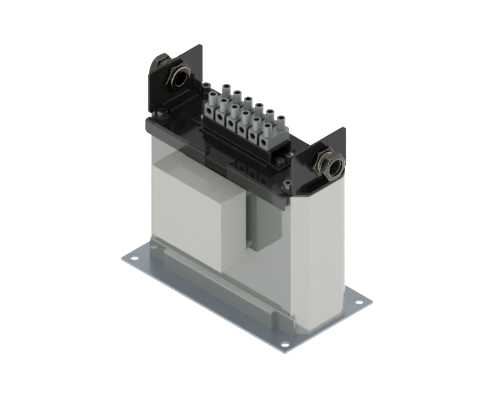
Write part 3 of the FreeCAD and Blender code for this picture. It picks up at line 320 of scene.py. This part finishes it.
def make_finishes():
    """Every finish under the name of its slot."""
    choices = {
        "zinc_plate": (zinc_sheet, dict(
            colour=(0.37, 0.43, 0.5), roughness=0.22, stretch=(1, 12, 1), edge_tone=(0.09, 0.11, 0.14))),
        "pale_coat": (lacquer, dict(colour=(0.475, 0.48, 0.435), ior=2.6, roughness=0.09)),
        # panel_coat's colour for faces that look up is painted light on them.
        "panel_coat": (lacquer, dict(
            colour=(0.22, 0.246, 0.222), ior=2.3, roughness=0.07, top_light=(0.8, 0.84, 0.8))),
        # The rim colours of the finishes below are painted highlights along the edges.
        "clamp_coat": (lacquer, dict(
            colour=(0.034, 0.037, 0.033), ior=1.55, roughness=0.14, spread=0.01, painted_rim=(0.2, 0.2, 0.19))),
        "black_coat": (lacquer, dict(
            colour=(0.013, 0.014, 0.012), ior=1.36, roughness=0.1, spread=0.01, painted_rim=(0.25, 0.25, 0.24))),
        "core_steel": (zinc_sheet, dict(colour=(0.2, 0.2, 0.21), roughness=0.4, stretch=(1, 40, 1))),
        "insulation": (moulded, dict(colour=(0.6, 0.55, 0.42), ior=1.5, roughness=0.6)),
        "nylon": (moulded, dict(colour=(0.68, 0.66, 0.6), ior=1.5, roughness=0.45)),
        "enamelled_copper": (winding_wire, dict(colour=(0.45, 0.17, 0.06))),
        # nickel_brass's outer colour is painted light on the dome nuts' outer faces.
        "nickel_brass": (bare_metal, dict(
            colour=(0.05, 0.045, 0.034), roughness=0.15, edge=SOFT_EDGE, spread=0.1,
            painted_rim=(0.95, 0.9, 0.78), outer=(0.09, 0.086, 0.07))),
        # terminal_brass is darkened to near black, a painted shade standing in for the shade inside the
        # wire holes.
        "terminal_brass": (bare_metal, dict(colour=(0.08, 0.078, 0.07), roughness=0.35)),
        "zinc_screw": (bare_metal, dict(colour=(0.42, 0.42, 0.42), roughness=0.28, edge=SCREW_EDGE)),
        "black_screw": (bare_metal, dict(
            colour=(0.16, 0.16, 0.155), roughness=0.3, edge=BLACK_SCREW_EDGE)),
        "seal_rubber": (soft_rubber, dict(colour=(0.012, 0.012, 0.012))),
        # strip_plastic's gap colour is painted shade in its narrow gaps and holes.
        "strip_plastic": (moulded, dict(
            colour=(0.34, 0.365, 0.355), ior=1.9, roughness=0.13, edge=MOULDED_EDGE, spread=0.02,
            painted_rim=(0.55, 0.57, 0.56), gap=(0.02, 0.024, 0.026))),
        "box_plastic": (moulded, dict(
            colour=(0.63, 0.645, 0.59), ior=1.6, roughness=0.12, edge=SOFT_EDGE, spread=0.006)),
    }
    return {slot: make(slot, **look) for slot, (make, look) in choices.items()}


def dress_frame(finishes):
    """Give every CAD node the finish of its slot."""
    slots = {part["node"]: part["material_slot"] for part in frame["record"]["subparts"]}
    for node, piece in frame["nodes"].items():
        piece.data.materials.clear()
        piece.data.materials.append(finishes[slots[node]])


# Threads on the glands

def thread(name, start, end, radius, side, finish):
    """A helical ridge on a cylinder along X at the gland's height."""
    low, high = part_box("gland_body_right")
    centre = (low + high) / 2
    turns = (end - start) / THREAD_PITCH
    count = int(turns * THREAD_STEPS)
    fade_steps = THREAD_FADE * THREAD_STEPS
    mesh = bmesh.new()
    rings = []
    # Ridge section: its foot, its flat crest and its other foot
    section = [
        (-THREAD_FOOT, -THREAD_SINK),
        (-THREAD_CREST, THREAD_HEIGHT),
        (THREAD_CREST, THREAD_HEIGHT),
        (THREAD_FOOT, -THREAD_SINK),
    ]
    for step in range(count + 1):
        angle = 2 * math.pi * step / THREAD_STEPS
        along = start + THREAD_PITCH * step / THREAD_STEPS
        fade = min(1, step / fade_steps, (count - step) / fade_steps)
        ring = []
        for shift, rise in section:
            reach = radius + (rise if rise < 0 else rise * fade)
            x = side * min(max(along + shift * THREAD_PITCH, start), end)
            ring.append(mesh.verts.new((x, reach * math.cos(angle), centre.z + reach * math.sin(angle))))
        rings.append(ring)
    for first, second in zip(rings, rings[1:]):
        for index in range(len(section)):
            following = (index + 1) % len(section)
            mesh.faces.new((first[index], first[following], second[following], second[index]))
    mesh.faces.new(rings[0])
    mesh.faces.new(list(reversed(rings[-1])))
    bmesh.ops.recalc_face_normals(mesh, faces=mesh.faces)
    data = bpy.data.meshes.new(name)
    mesh.to_mesh(data)
    mesh.free()
    piece = bpy.data.objects.new(name, data)
    bpy.context.scene.collection.objects.link(piece)
    for face in data.polygons:
        face.use_smooth = True
    data.materials.append(finish)
    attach(piece, "root")
    return piece


def make_threads(finish):
    """Ridges on both stretches of each gland's stem that stand clear of its nuts."""
    body_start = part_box("gland_body_right")[0].x
    nut_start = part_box("lock_nut_right")[0].x
    dome_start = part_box("dome_nut_right")[0].x
    hex_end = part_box("gland_gasket_right")[1].x + GLAND_HEX_LENGTH
    for side_name, side in (("right", 1), ("left", -1)):
        thread(f"inner_thread_{side_name}", body_start, nut_start, SHANK_RADIUS, side, finish)
        thread(f"outer_thread_{side_name}", hex_end, dome_start, NECK_RADIUS, side, finish)


# Camera, light and floor

def make_camera():
    """A parallel view along the photo's direction."""
    data = bpy.data.cameras.new("camera")
    data.type = "ORTHO"
    data.ortho_scale = FIELD_WIDTH
    data.clip_end = 10
    camera = bpy.data.objects.new("camera", data)
    bpy.context.scene.collection.objects.link(camera)
    camera.location = CAMERA_TARGET + CAMERA_SIDE * CAMERA_DISTANCE
    camera.rotation_euler = (-CAMERA_SIDE).to_track_quat("-Z", "Y").to_euler()
    bpy.context.scene.camera = camera


def seen_directly(nodes, links):
    """1 for rays from the camera and for mirrored or refracted ones, 0 for scattered light."""
    path = nodes.new("ShaderNodeLightPath")
    seen = path.outputs["Is Camera Ray"]
    for kind in ("Is Glossy Ray", "Is Transmission Ray"):
        either = nodes.new("ShaderNodeMath")
        either.operation = "MAXIMUM"
        links.new(seen, either.inputs[0])
        links.new(path.outputs[kind], either.inputs[1])
        seen = either.outputs[0]
    return seen


def make_world():
    """A bright band round the horizon under a dim sky gives the light; eye and mirrors see plain white."""
    world = bpy.data.worlds.new("studio")
    world.use_nodes = True
    bpy.context.scene.world = world
    nodes = world.node_tree.nodes
    links = world.node_tree.links
    nodes.clear()
    output = nodes.new("ShaderNodeOutputWorld")
    where = nodes.new("ShaderNodeTexCoord")
    split = nodes.new("ShaderNodeSeparateXYZ")
    links.new(where.outputs["Generated"], split.inputs[0])
    ramp = nodes.new("ShaderNodeMapRange")
    ramp.interpolation_type = "SMOOTHSTEP"
    ramp.inputs["From Min"].default_value = HORIZON_TOP * (1 - HORIZON_FADE)
    ramp.inputs["From Max"].default_value = HORIZON_TOP * (1 + HORIZON_FADE)
    ramp.inputs["To Min"].default_value = HORIZON_LIGHT
    ramp.inputs["To Max"].default_value = SKY_LIGHT
    links.new(split.outputs["Z"], ramp.inputs["Value"])
    lighting = nodes.new("ShaderNodeBackground")
    links.new(ramp.outputs["Result"], lighting.inputs["Strength"])
    white = nodes.new("ShaderNodeBackground")
    white.inputs["Strength"].default_value = 1.0
    either = nodes.new("ShaderNodeMixShader")
    links.new(seen_directly(nodes, links), either.inputs[0])
    links.new(lighting.outputs[0], either.inputs[1])
    links.new(white.outputs[0], either.inputs[2])
    links.new(either.outputs[0], output.inputs["Surface"])


def make_floor():
    """A pale floor: lit like any surface, with a glow that eye and mirrors see as white."""
    data = bpy.data.meshes.new("floor")
    half = FLOOR_SIZE / 2
    corners = [(-half, -half, 0), (half, -half, 0), (half, half, 0), (-half, half, 0)]
    data.from_pydata(corners, [], [(0, 1, 2, 3)])
    floor = bpy.data.objects.new("floor", data)
    floor.location.z = -FLOOR_DROP
    bpy.context.scene.collection.objects.link(floor)
    material = bpy.data.materials.new("pale_floor")
    material.use_nodes = True
    nodes = material.node_tree.nodes
    links = material.node_tree.links
    nodes.clear()
    output = nodes.new("ShaderNodeOutputMaterial")
    matt = nodes.new("ShaderNodeBsdfDiffuse")
    matt.inputs["Color"].default_value = (*FLOOR_COLOUR, 1)
    glow = nodes.new("ShaderNodeEmission")
    level = nodes.new("ShaderNodeMath")
    level.operation = "MULTIPLY"
    level.inputs[1].default_value = FLOOR_GLOW
    links.new(seen_directly(nodes, links), level.inputs[0])
    links.new(level.outputs[0], glow.inputs["Strength"])
    both = nodes.new("ShaderNodeAddShader")
    links.new(matt.outputs[0], both.inputs[0])
    links.new(glow.outputs[0], both.inputs[1])
    links.new(both.outputs[0], output.inputs["Surface"])
    data.materials.append(material)


bpy.context.scene.view_settings.view_transform = "Standard"
make_camera()
make_world()
make_floor()
finishes = make_finishes()
dress_frame(finishes)
make_threads(finishes["nickel_brass"])
